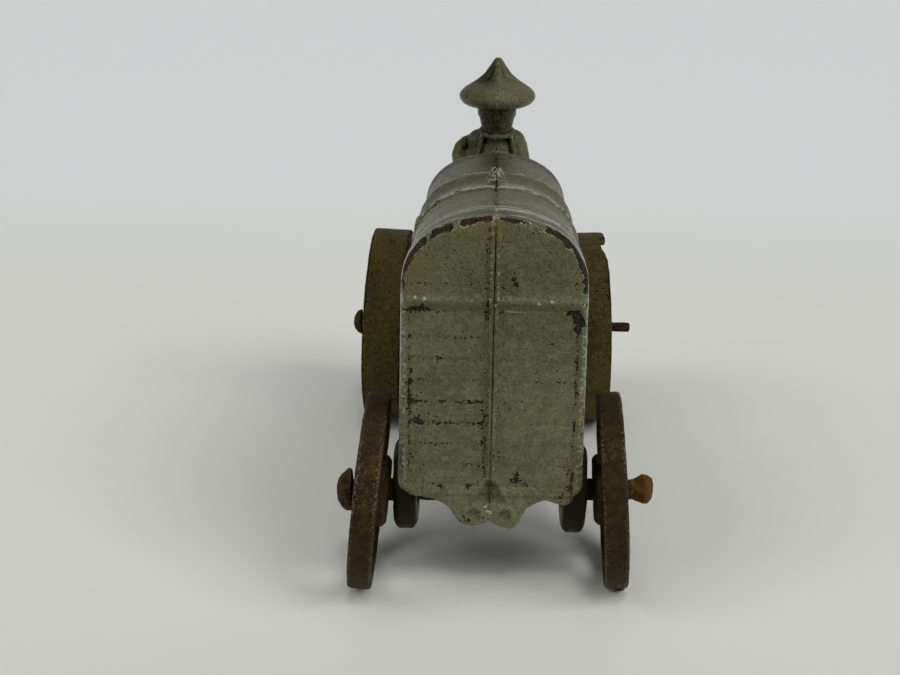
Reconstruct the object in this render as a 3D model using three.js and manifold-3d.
// Cast-iron toy tractor with a cast-in driver, in millimetres, +Z up.
// The radiator faces -Y and the driver's left is +X. The two body castings meet on the plane X = 0,
// and the origin lies on the floor under the middle of the tractor.
import * as THREE from "three";
import { mergeVertices } from "three/addons/utils/BufferGeometryUtils.js";
import Module from "manifold-3d";

const wasm = await Module();
wasm.setup();

// ---------------------------------------------------------------- driving dimensions

const SEAM_GAP = 0.3; // daylight between the two castings
const WALL = 1.8; // shell thickness of the castings
const REACH = 80; // further than any part of the tractor
const DRILL = 14; // half-length of the bores cut across the body

// skew is how far the loose axle has swung, in degrees, its left end backwards
const FRONT_AXLE = { y: -30.7, z: 12.5, radius: 1.45, clearance: 0.85, skew: 3.6 };
const REAR_AXLE = { y: 27.8, z: 16.4, radius: 0.85, clearance: 0.2, skew: 0 };

// radiator and hood share one arched section: straight sides under a flattened arch
const SECTION = { halfWidth: 10.95, flare: 0.4, flareFrom: 15, spring: 40.8, top: 49.2, squareness: 2.2 };
const RADIATOR = { front: -36.7, back: -29.1, bottom: 14.5 };
const HOOD = { back: 12.2, bottom: 20 };
const RIDGE_A = -17; // sharp band, one third of the way along the hood
const RIDGE_B = -6; // soft band behind it

const FACE = {
  borderInner: 9.6,
  borderOuter: 10.35,
  borderProud: 0.35,
  foot: 1.4,
  headerBottom: 38.8,
  headerHeight: 1,
  headerProud: 0.3,
  lip: 0.6,
  lipTop: 47,
  sunk: 0.6,
};
const FINS = { count: 7, pitch: 2.7, lowest: 18.8, inner: 1.1, outer: 9.3, depth: 0.18, height: 0.24 };
const COVER = {
  front: -25.5,
  back: 6.5,
  bottom: 24.5,
  top: 35,
  proud: 1,
  ribs: 4,
  ribProud: 1.4,
  ribWidth: 1.2,
};
const FILLER = { behindRidge: 4.2, radius: 1.6, tip: 0.6, height: 2.6, sunk: 1.1 };

const CHASSIS = { halfWidth: 8.8, bottom: 12.8, top: 22, back: 38 };
const RAIL = { halfWidth: 9.6, bottom: 20.2, top: 22.6 };
const PLATFORM = { halfWidth: 9.2, bottom: 21, top: 26 };
const GEARBOX = { radius: 8.4, halfWidth: 9.8, bossRadius: 4.2, bossHalfWidth: 11.4 };
const SEAT = { halfWidth: 5.2, front: 24.5, back: 34.5, top: 35.6 };
const LUG = { inner: 9.1, outer: 12.2, radius: 4.45, drop: 0.95, top: 19 };
const APRON = { front: -36.3, thickness: 2.5 };
const HITCH = { halfWidth: 3, bottom: 13.2, top: 15.6, back: 42 };

const RIVET = {
  y: -11.5,
  z: 42.3,
  radius: 1.1,
  clearance: 0.2,
  seat: 9.3,
  headRadius: 2.1,
  headHeight: 1.4,
};

// wheels: lean tips the top inward and toe turns the front inward, in degrees
const FRONT_WHEEL = {
  radius: 12.45,
  tread: 2.9,
  rim: 1.9,
  hubRadius: 4.6,
  hubIn: 1,
  hubOut: 0.4,
  bore: 1.85,
  spokes: 6,
};
const REAR_WHEEL = {
  radius: 16.3,
  tread: 6.4,
  rim: 1.5,
  hubRadius: 4.2,
  hubIn: 1.1,
  hubOut: 0.9,
  bore: 1.25,
  spokes: 8,
};
const SPOKE = { rootHalf: 1.25, tipHalf: 0.9, thickness: 1.5 };
const RIM_BEVEL = 0.35;
const WHEELS = [
  { name: "front_wheel_left", shape: FRONT_WHEEL, axle: FRONT_AXLE, x: 15.75, lean: 4.4, toe: 2.7 },
  { name: "front_wheel_right", shape: FRONT_WHEEL, axle: FRONT_AXLE, x: -15.3, lean: 5.3, toe: 1.3 },
  { name: "rear_wheel_left", shape: REAR_WHEEL, axle: REAR_AXLE, x: 16.2, lean: 2, toe: 0 },
  { name: "rear_wheel_right", shape: REAR_WHEEL, axle: REAR_AXLE, x: -18, lean: 2, toe: 0 },
];
const NUB = { wheel: "front_wheel_left", ahead: 20, height: 0.45 };
const CHIP = { wheel: "rear_wheel_left", ahead: 22, depth: 1.6, length: 9 };

const DRIVER = { y: 27.9, shoulder: 48.3, hatBrim: 55.8 };

const ROUND = 24; // facets around a wheel-sized circle
const SMALL_ROUND = 12; // facets around a shaft-sized circle

// ---------------------------------------------------------------- materials

const paint = { color: 0x7c7d66, roughness: 0.62, metalness: 0.1 };
const oldPaint = { color: 0x5d5438, roughness: 0.7, metalness: 0.1 };
const bareIron = { color: 0x5a4433, roughness: 0.6, metalness: 0.45 };
const rust = { color: 0x8a5326, roughness: 0.85, metalness: 0.2 };

// ---------------------------------------------------------------- helpers

function solid(geometry) {
  const bare = geometry.clone();
  bare.deleteAttribute("normal");
  bare.deleteAttribute("uv");
  const merged = mergeVertices(bare, 1e-4);
  return new wasm.Manifold(
    new wasm.Mesh({
      numProp: 3,
      vertProperties: new Float32Array(merged.attributes.position.array),
      triVerts: new Uint32Array(merged.index.array),
    }),
  );
}

function surface(body) {
  const mesh = body.getMesh();
  const geometry = new THREE.BufferGeometry();
  geometry.setAttribute("position", new THREE.BufferAttribute(new Float32Array(mesh.vertProperties), 3));
  geometry.setIndex(new THREE.BufferAttribute(new Uint32Array(mesh.triVerts), 1));
  const flat = geometry.toNonIndexed();
  flat.computeVertexNormals();
  return flat;
}

function piece(name, body, look) {
  const mesh = new THREE.Mesh(surface(body), new THREE.MeshStandardMaterial(look));
  mesh.name = name;
  return mesh;
}

function union(bodies) {
  return bodies.reduce((whole, body) => whole.add(body));
}

const radians = THREE.MathUtils.degToRad;

// box from its lowest to its highest corner
function box(low, high) {
  const size = high.map((value, i) => value - low[i]);
  const middle = high.map((value, i) => (value + low[i]) / 2);
  return solid(new THREE.BoxGeometry(...size).translate(...middle));
}

// cylinder along X
function crossBar(radius, from, to, y, z, facets = SMALL_ROUND) {
  const bar = new THREE.CylinderGeometry(radius, radius, to - from, facets);
  return solid(bar.rotateZ(-Math.PI / 2).translate((from + to) / 2, y, z));
}

// body of revolution about X from [radius, x] points
function turned(points, facets) {
  const profile = points.map(([radius, x]) => new THREE.Vector2(radius, x));
  return solid(new THREE.LatheGeometry(profile, facets).rotateZ(-Math.PI / 2));
}

// closed skin over rings of equal length, each a list of [x, y, z]
function loft(rings) {
  const count = rings[0].length;
  const positions = rings.flat(2);
  const index = [];
  for (let r = 0; r + 1 < rings.length; r += 1) {
    for (let i = 0; i < count; i += 1) {
      const next = (i + 1) % count;
      const a = r * count + i;
      const b = r * count + next;
      index.push(a, a + count, b, b, a + count, b + count);
    }
  }
  for (const [ring, flip] of [[0, false], [rings.length - 1, true]]) {
    const flatRing = rings[ring].map(([x, , z]) => new THREE.Vector2(x, z));
    for (const [a, b, c] of THREE.ShapeUtils.triangulateShape(flatRing, [])) {
      const corners = [a, b, c].map((corner) => corner + ring * count);
      index.push(...(flip ? corners.reverse() : corners));
    }
  }
  const geometry = new THREE.BufferGeometry();
  geometry.setAttribute("position", new THREE.Float32BufferAttribute(positions, 3));
  geometry.setIndex(index);
  return solid(geometry);
}

// plate cut to an outline in the Y-Z plane, running along X
function sidePlate(points, from, to) {
  const outline = new THREE.Shape(points.map(([y, z]) => new THREE.Vector2(y, z)));
  const plate = new THREE.ExtrudeGeometry(outline, { depth: to - from, bevelEnabled: false });
  return solid(plate.rotateY(Math.PI / 2).rotateX(Math.PI / 2).translate(from, 0, 0));
}

// plate cut to an outline in the X-Z plane, running back from its front face
function frontPlate(points, front, thickness) {
  const outline = new THREE.Shape(points.map(([x, z]) => new THREE.Vector2(x, z)));
  const plate = new THREE.ExtrudeGeometry(outline, { depth: thickness, bevelEnabled: false });
  return solid(plate.rotateX(Math.PI / 2).translate(0, front + thickness, 0));
}

function arc(centreY, centreZ, radius, fromDegrees, toDegrees, steps) {
  return Array.from({ length: steps + 1 }, (_, i) => {
    const angle = radians(fromDegrees + ((toDegrees - fromDegrees) * i) / steps);
    return [centreY + radius * Math.cos(angle), centreZ + radius * Math.sin(angle)];
  });
}

function ball(centre, radii, across = 12, down = 8) {
  const sphere = new THREE.SphereGeometry(1, across, down).rotateX(Math.PI / 2);
  return solid(sphere.scale(...radii).translate(...centre));
}

// tapered limb between two points with round ends
function limb(from, to, fromRadius, toRadius, facets = 10) {
  const start = new THREE.Vector3(...from);
  const finish = new THREE.Vector3(...to);
  const along = finish.clone().sub(start);
  const upright = new THREE.Vector3(0, 1, 0);
  const turn = new THREE.Quaternion().setFromUnitVectors(upright, along.clone().normalize());
  const shaft = new THREE.CylinderGeometry(toRadius, fromRadius, along.length(), facets);
  const middle = start.clone().add(finish).multiplyScalar(0.5);
  const parts = [solid(shaft.applyQuaternion(turn).translate(...middle.toArray()))];
  for (const [centre, radius] of [[start, fromRadius], [finish, toRadius]]) {
    const end = new THREE.SphereGeometry(radius, facets, 6).applyQuaternion(turn);
    parts.push(solid(end.translate(...centre.toArray())));
  }
  return union(parts);
}

// ---------------------------------------------------------------- radiator and hood skin

// arched outline at one station, drawn in by inset
function archRing(y, inset, bottom, archSteps = 18) {
  const side = SECTION.halfWidth - inset;
  const top = SECTION.top - inset;
  const rise = top - SECTION.spring;
  const corner = 1.2;
  const flare = (z) => (SECTION.flare * (SECTION.spring - z)) / (SECTION.spring - SECTION.flareFrom);
  const power = 2 / SECTION.squareness;
  const arch = Array.from({ length: archSteps + 1 }, (_, i) => {
    const angle = (Math.PI * i) / archSteps;
    const across = Math.sign(Math.cos(angle)) * Math.abs(Math.cos(angle)) ** power;
    return [side * across, y, SECTION.spring + rise * Math.sin(angle) ** power];
  });
  const foot = side + flare(bottom);
  return [
    [-foot, y, bottom + corner],
    [-foot + corner, y, bottom],
    [foot - corner, y, bottom],
    [foot, y, bottom + corner],
    ...arch,
  ];
}

function archLoft(stations, bottom) {
  return loft(stations.map(([y, inset]) => archRing(y, inset, bottom)));
}

const radiatorStations = [
  [RADIATOR.front, 0.75],
  [RADIATOR.front + 0.35, 0.25],
  [RADIATOR.front + 1.1, 0.1],
  [RADIATOR.front + 3.6, 0],
  [RADIATOR.back - 1.2, 0.1],
  [RADIATOR.back, 0.5],
];

const hoodStations = [
  [RADIATOR.back - 1, 0.65],
  [RIDGE_A - 6, 0.75],
  [RIDGE_A - 2.8, 0.6],
  [RIDGE_A - 0.3, 0.1],
  [RIDGE_A + 0.2, 0.1],
  [RIDGE_A + 0.7, 0.6],
  [RIDGE_B - 1.8, 0.6],
  [RIDGE_B - 0.6, 0.2],
  [RIDGE_B + 0.6, 0.2],
  [RIDGE_B + 1.8, 0.5],
  [HOOD.back - 0.5, 0.4],
  [HOOD.back, 0.8],
];

// ---------------------------------------------------------------- body castings

// box between two distances from the seam, on one side of it
function sideBox(side, inner, outer, low, high) {
  const [x0, x1] = [inner * side, outer * side].sort((a, b) => a - b);
  return box([x0, ...low], [x1, ...high]);
}

// raised borders, header band and seam lips on the radiator's face
function radiatorFace() {
  const { borderInner, borderOuter, borderProud, lip, lipTop } = FACE;
  const { headerBottom, headerHeight, headerProud } = FACE;
  const foot = RADIATOR.bottom + FACE.foot;
  const root = RADIATOR.front + FACE.sunk;
  const proud = RADIATOR.front - borderProud;
  const header = [RADIATOR.front - headerProud, headerBottom];
  const relief = [box([-borderOuter, ...header], [borderOuter, root, headerBottom + headerHeight])];
  for (const side of [-1, 1]) {
    relief.push(sideBox(side, borderInner, borderOuter, [proud, foot], [root, headerBottom]));
    relief.push(sideBox(side, SEAM_GAP / 2, SEAM_GAP / 2 + lip, [proud, foot], [root, lipTop]));
  }
  return relief;
}

function finGrooves() {
  const grooves = [];
  for (let i = 0; i < FINS.count; i += 1) {
    const z = FINS.lowest + i * FINS.pitch;
    const low = [RADIATOR.front - 1, z - FINS.height / 2];
    const high = [RADIATOR.front + FINS.depth, z + FINS.height / 2];
    for (const side of [-1, 1]) {
      grooves.push(sideBox(side, FINS.inner, FINS.outer, low, high));
    }
  }
  return grooves;
}

// ragged two-lobed skirt under the radiator, with a notch on the seam
function apron() {
  const root = RADIATOR.bottom + 1.5;
  const outline = [
    [-10.2, root],
    [-9.8, 14.3],
    [-8.8, 14.1],
    [-6.8, 13.7],
    [-5.2, 12.8],
    [-4.5, 11.7],
    [-3.8, 10.7],
    [-3.1, 10.3],
    [-1.6, 10.2],
    [-0.6, 10.6],
    [0, 11.3],
    [0.7, 10.4],
    [1.7, 10],
    [2.9, 10.1],
    [3.6, 11.1],
    [4.6, 12.7],
    [5.7, 13.4],
    [6.9, 13.8],
    [8.1, 13.5],
    [9.2, 13.3],
    [10.1, 13.9],
    [10.4, root],
  ];
  return frontPlate(outline, APRON.front, APRON.thickness);
}

function axleLugs() {
  const outline = [
    ...arc(FRONT_AXLE.y, FRONT_AXLE.z - LUG.drop, LUG.radius, 180, 360, 10),
    ...arc(FRONT_AXLE.y, LUG.top - LUG.radius, LUG.radius, 0, 180, 10),
  ];
  return [sidePlate(outline, LUG.inner, LUG.outer), sidePlate(outline, -LUG.outer, -LUG.inner)];
}

// frame, gearbox, platform and seat under and behind the hood
function chassis() {
  const { radius, halfWidth, bossRadius, bossHalfWidth } = GEARBOX;
  const bellyBack = REAR_AXLE.y - radius;
  const outline = [
    [RADIATOR.back - 2, CHASSIS.bottom + 1.7],
    [FRONT_AXLE.y + 5, CHASSIS.bottom],
    [bellyBack - 6, CHASSIS.bottom],
    [bellyBack, CHASSIS.bottom - 1.2],
    [REAR_AXLE.y + radius, CHASSIS.bottom],
    [CHASSIS.back, CHASSIS.bottom + 1],
    [CHASSIS.back, CHASSIS.top],
    [RADIATOR.back - 2, CHASSIS.top],
  ];
  const rail = [
    [RADIATOR.back - 1, RAIL.bottom],
    [CHASSIS.back - 1, RAIL.bottom],
    [CHASSIS.back - 1, RAIL.top],
    [RADIATOR.back - 1, RAIL.top],
  ];
  const platform = [
    [HOOD.back - 2, PLATFORM.bottom],
    [CHASSIS.back - 0.6, PLATFORM.bottom],
    [CHASSIS.back - 0.6, PLATFORM.top - 1],
    [SEAT.back, PLATFORM.top],
    [HOOD.back - 2, PLATFORM.top],
  ];
  const seat = [
    [SEAT.front, PLATFORM.top - 1],
    [SEAT.back, PLATFORM.top - 1],
    [SEAT.back, SEAT.top - 0.8],
    [SEAT.back - 0.8, SEAT.top],
    [SEAT.front + 0.8, SEAT.top],
    [SEAT.front, SEAT.top - 0.8],
  ];
  const hitch = [
    [CHASSIS.back - 1, HITCH.bottom],
    [HITCH.back - 1, HITCH.bottom],
    [HITCH.back, HITCH.bottom + 1],
    [HITCH.back, HITCH.top],
    [CHASSIS.back - 1, HITCH.top],
  ];
  return [
    sidePlate(outline, -CHASSIS.halfWidth, CHASSIS.halfWidth),
    sidePlate(rail, -RAIL.halfWidth, RAIL.halfWidth),
    sidePlate(platform, -PLATFORM.halfWidth, PLATFORM.halfWidth),
    sidePlate(seat, -SEAT.halfWidth, SEAT.halfWidth),
    sidePlate(hitch, -HITCH.halfWidth, HITCH.halfWidth),
    crossBar(radius, -halfWidth, halfWidth, REAR_AXLE.y, REAR_AXLE.z, ROUND),
    crossBar(bossRadius, -bossHalfWidth, bossHalfWidth, REAR_AXLE.y, REAR_AXLE.z, ROUND),
  ];
}

// cover plate with upright cooling ribs on each side, below the hood's bands
function sideCovers() {
  const { front, back, bottom, top, proud, ribProud, ribWidth, ribs } = COVER;
  const skin = SECTION.halfWidth - 0.6;
  const margin = 1.5;
  const spacing = (back - front) / (ribs + 0.5);
  const parts = [];
  for (const side of [-1, 1]) {
    parts.push(sideBox(side, skin, skin + proud, [front, bottom], [back, top]));
    for (let i = 0; i < ribs; i += 1) {
      const y = front + (i + 0.75) * spacing;
      const low = [y - ribWidth / 2, bottom + margin];
      const high = [y + ribWidth / 2, top - margin];
      parts.push(sideBox(side, skin, skin + ribProud, low, high));
    }
  }
  return parts;
}

function fillerCap() {
  const { behindRidge, radius, tip, height, sunk } = FILLER;
  const cap = new THREE.CylinderGeometry(tip, radius, height, SMALL_ROUND).rotateX(Math.PI / 2);
  return solid(cap.translate(0, RIDGE_A + behindRidge, SECTION.top - sunk + height / 2));
}

function steeringWheel() {
  const hub = [0, HOOD.back + 5.7, 42.6];
  const ring = new THREE.TorusGeometry(3.5, 0.65, 6, 20).rotateX(radians(35));
  return [
    solid(ring.translate(...hub)),
    limb([0, HOOD.back - 1, 38.5], hub, 0.9, 0.9, 8),
    limb([-3.4, hub[1], hub[2]], [3.4, hub[1], hub[2]], 0.6, 0.6, 6),
  ];
}

// hat with a tall pointed crown over a thick brim that droops in front
function hat() {
  const brimRadius = 6.25;
  const profile = [
    [0, -1.7],
    [2.6, -1.7],
    [3.8, -1.6],
    [5, -1.3],
    [5.8, -0.8],
    [6.2, -0.2],
    [brimRadius, 0.4],
    [5.95, 1],
    [5.3, 1.6],
    [4.4, 2.15],
    [3.55, 2.7],
    [2.8, 3.3],
    [2.15, 3.9],
    [1.65, 4.6],
    [1.15, 5.3],
    [0.75, 5.9],
    [0, 6.35],
  ];
  const droop = 0.5;
  const points = profile.map(([radius, z]) => new THREE.Vector2(radius, z));
  const shape = new THREE.LatheGeometry(points, 20).rotateX(Math.PI / 2);
  const places = shape.attributes.position;
  for (let i = 0; i < places.count; i += 1) {
    const front = Math.min(places.getY(i), 0) / brimRadius;
    places.setZ(i, places.getZ(i) - droop * front * front);
  }
  return solid(shape.translate(0, DRIVER.y - 0.7, DRIVER.hatBrim));
}

// seated driver: torso, neck, plain head, hat, legs, and both hands on the steering wheel
function driver() {
  const { y, shoulder } = DRIVER;
  return [
    ball([0, y + 0.8, 41.2], [4.9, 3.7, 7.4], 14, 10),
    ball([0, y + 0.3, 46.2], [5.1, 3.5, 4.2], 14, 8),
    limb([-2.75, y, shoulder], [2.75, y, shoulder], 2.15, 2.15),
    limb([0, y - 0.2, shoulder], [0, y - 0.7, 51.4], 2.6, 2.3),
    ball([0, y - 0.9, 53.8], [3, 3.4, 4], 14, 10),
    ball([0, y - 1.5, 51.7], [2.5, 2.7, 1.9], 12, 8),
    limb([0, y - 4.1, 54.1], [0, y - 4.5, 53], 0.45, 0.6, 6),
    hat(),
    ...[-1, 1].flatMap((side) => [
      limb([2.5 * side, y + 0.6, 37.4], [2.9 * side, y - 7.6, 36.6], 2.7, 2.2),
      limb([2.9 * side, y - 7.6, 36.6], [2.9 * side, y - 9, 28.6], 2.2, 1.7),
      limb([2.9 * side, y - 8.8, 27.5], [3 * side, y - 12.4, 27.1], 1.8, 1.5),
    ]),
    limb([3.6, y, 47.4], [4.3, y - 3.8, 42.6], 1.7, 1.6),
    limb([4.3, y - 3.8, 42.6], [3.4, y - 8.8, 43.3], 1.6, 1.2),
    limb([-3.9, y + 0.9, 48.3], [-6.1, y - 0.7, 47.8], 1.3, 0.85, 8),
    limb([-6.1, y - 0.7, 47.8], [-6.3, y - 3.8, 45.8], 0.85, 1, 8),
    limb([-6.3, y - 3.8, 45.8], [-3.6, y - 8.8, 43.6], 1, 1.2, 8),
  ];
}

// hollow that opens downward through the whole casting
function cavity() {
  const skin = archLoft(
    [
      [RADIATOR.front + 2.1, WALL + 0.7],
      [HOOD.back - WALL, WALL + 0.7],
    ],
    CHASSIS.top + 1.6,
  );
  const inside = CHASSIS.halfWidth - WALL;
  const low = CHASSIS.bottom - 8;
  return [
    skin,
    box([-inside, RADIATOR.front + 2.1, low], [inside, SEAT.back + 0.6, CHASSIS.top - 0.6]),
    box([-inside, RADIATOR.front + 2.1, CHASSIS.top - 1], [inside, HOOD.back - WALL, CHASSIS.top + 3]),
  ];
}

function rivetBoss() {
  const bar = crossBar(2.7, -RIVET.seat, RIVET.seat, RIVET.y, RIVET.z);
  return bar.intersect(archLoft([[RADIATOR.back, 1], [RIDGE_B, 1]], HOOD.bottom));
}

function bodyShell() {
  const outside = union([
    archLoft(radiatorStations, RADIATOR.bottom),
    archLoft(hoodStations, HOOD.bottom),
    apron(),
    ...radiatorFace(),
    ...axleLugs(),
    ...chassis(),
    ...sideCovers(),
    fillerCap(),
    ...steeringWheel(),
    ...driver(),
  ]);
  const rivetFaces = [-1, 1].map((side) => {
    const [x0, x1] = [RIVET.seat * side, DRILL * side].sort((a, b) => a - b);
    return crossBar(RIVET.headRadius + 0.25, x0, x1, RIVET.y, RIVET.z);
  });
  const frontHole = FRONT_AXLE.radius + FRONT_AXLE.clearance;
  const rearHole = REAR_AXLE.radius + REAR_AXLE.clearance;
  const cuts = [
    ...rivetFaces,
    ...finGrooves(),
    crossBar(RIVET.radius + RIVET.clearance, -DRILL, DRILL, RIVET.y, RIVET.z),
    crossBar(frontHole, -DRILL, DRILL, FRONT_AXLE.y, FRONT_AXLE.z),
    crossBar(rearHole, -DRILL, DRILL, REAR_AXLE.y, REAR_AXLE.z),
  ];
  return outside.subtract(union(cavity())).add(rivetBoss()).subtract(union(cuts));
}

// ---------------------------------------------------------------- rivet and axles

// the rivet is headed on the driver's right and peened over on the left
function bodyRivet() {
  const { radius, seat, headRadius, headHeight } = RIVET;
  const gap = 0.3;
  const points = [
    [0, -seat - gap - headHeight],
    [headRadius * 0.6, -seat - gap - headHeight * 0.8],
    [headRadius, -seat - gap - headHeight * 0.25],
    [headRadius, -seat - gap],
    [radius, -seat - gap],
    [radius, seat + gap],
    [1.6, seat + gap],
    [1.6, seat + gap + 0.35],
    [0.9, seat + gap + 0.8],
    [0, seat + gap + 0.9],
  ];
  return turned(points, SMALL_ROUND).translate([0, RIVET.y, RIVET.z]);
}

// mushroom head outside the right wheel, hammered and flared end outside the left one
function frontAxle() {
  const { radius } = FRONT_AXLE;
  const points = [
    [0, -19.55],
    [1.2, -19.4],
    [2.2, -18.85],
    [2.85, -17.65],
    [radius, -17.65],
    [radius, 17.9],
    [1.2, 18.3],
    [1.35, 18.8],
    [1.95, 19.8],
    [1.8, 20.5],
    [1, 20.95],
    [0, 21],
  ];
  return turned(points, SMALL_ROUND);
}

// long nail: domed head on the right, bare end on the left
function rearAxle() {
  const { radius } = REAR_AXLE;
  const points = [
    [0, -24.3],
    [1.1, -24.15],
    [2, -23.6],
    [2.3, -22.9],
    [radius, -22.9],
    [radius, 23.7],
    [radius - 0.3, 24],
    [0, 24.05],
  ];
  return turned(points, SMALL_ROUND);
}

// ---------------------------------------------------------------- wheels

// spoked cast wheel about X, with its outer face towards +X
function wheel(shape) {
  const { radius, tread, rim, hubRadius, hubIn, hubOut, bore, spokes } = shape;
  const half = tread / 2;
  const inner = radius - rim;
  const rimRing = turned(
    [
      [inner, -half + RIM_BEVEL / 2],
      [radius - RIM_BEVEL, -half],
      [radius, -half + RIM_BEVEL],
      [radius, half - RIM_BEVEL],
      [radius - RIM_BEVEL, half],
      [inner, half - RIM_BEVEL / 2],
      [inner, -half + RIM_BEVEL / 2],
    ],
    ROUND * 2,
  );
  const hub = turned(
    [
      [bore, -half - hubIn],
      [hubRadius - 0.5, -half - hubIn],
      [hubRadius, -half - hubIn + 0.6],
      [hubRadius - 0.3, 0],
      [hubRadius - 0.6, half + hubOut - 0.5],
      [hubRadius - 1, half + hubOut],
      [bore, half + hubOut],
      [bore, -half - hubIn],
    ],
    ROUND,
  );
  const parts = [rimRing, hub];
  for (let i = 0; i < spokes; i += 1) {
    const outline = new THREE.Shape();
    const root = hubRadius - 0.9;
    const tip = inner + rim / 2;
    outline.moveTo(-SPOKE.rootHalf, root);
    outline.lineTo(SPOKE.rootHalf, root);
    outline.lineTo(SPOKE.tipHalf, tip);
    outline.lineTo(-SPOKE.tipHalf, tip);
    outline.closePath();
    const spoke = new THREE.ExtrudeGeometry(outline, { depth: SPOKE.thickness, bevelEnabled: false });
    spoke.translate(0, 0, -SPOKE.thickness / 2).rotateY(Math.PI / 2).rotateX((2 * Math.PI * i) / spokes);
    parts.push(solid(spoke));
  }
  return union(parts);
}

// casting nub left on the front left tread, ahead of the bottom
function treadNub() {
  const { radius, tread } = FRONT_WHEEL;
  const angle = radians(NUB.ahead);
  const spot = [tread * 0.15, -radius * Math.sin(angle), -radius * Math.cos(angle)];
  return ball(spot, [0.7, 0.7, NUB.height], 8, 6);
}

// bite broken out of the outer rim edge of the rear left wheel, ahead of the top
function rimChip() {
  const { radius, tread } = REAR_WHEEL;
  const angle = radians(CHIP.ahead);
  const centre = [tread / 2 + 0.4, -radius * Math.sin(angle), radius * Math.cos(angle)];
  return ball(centre, [CHIP.depth + 0.4, CHIP.length / 2, CHIP.length / 2], 12, 8);
}

function placedWheel({ name, shape, axle, x, lean, toe }) {
  const side = Math.sign(x);
  const look = shape === FRONT_WHEEL ? bareIron : oldPaint;
  let body = wheel(shape);
  if (name === NUB.wheel) {
    body = body.add(treadNub());
  }
  if (name === CHIP.wheel) {
    body = body.subtract(rimChip());
  }
  const mesh = piece(name, body, look);
  const turn = side < 0 ? Math.PI : 0;
  const stance = new THREE.Group();
  const tilt = radians(lean);
  const rise = shape.radius * Math.cos(tilt) + (shape.tread / 2 - RIM_BEVEL) * Math.sin(tilt);
  stance.position.set(x, axle.y + x * Math.tan(radians(axle.skew)), rise);
  stance.rotation.set(0, -side * tilt, -side * radians(toe), "ZYX");
  mesh.rotation.z = turn;
  stance.add(mesh);
  return stance;
}

// ---------------------------------------------------------------- assembly

const shell = bodyShell();
const leftRoom = box([SEAM_GAP / 2, -REACH, -REACH], [REACH, REACH, REACH]);
const rightRoom = box([-REACH, -REACH, -REACH], [-SEAM_GAP / 2, REACH, REACH]);

const tractor = new THREE.Group();
tractor.add(piece("body_left_half", shell.intersect(leftRoom), paint));
tractor.add(piece("body_right_half", shell.intersect(rightRoom), paint));
tractor.add(piece("body_rivet", bodyRivet(), bareIron));

const frontShaft = piece("front_axle", frontAxle(), rust);
frontShaft.position.set(0, FRONT_AXLE.y, FRONT_AXLE.z);
frontShaft.rotation.z = radians(FRONT_AXLE.skew);
tractor.add(frontShaft);

const rearShaft = piece("rear_axle", rearAxle(), rust);
rearShaft.position.set(0, REAR_AXLE.y, REAR_AXLE.z);
tractor.add(rearShaft);

for (const spec of WHEELS) {
  tractor.add(placedWheel(spec));
}

export default tractor;
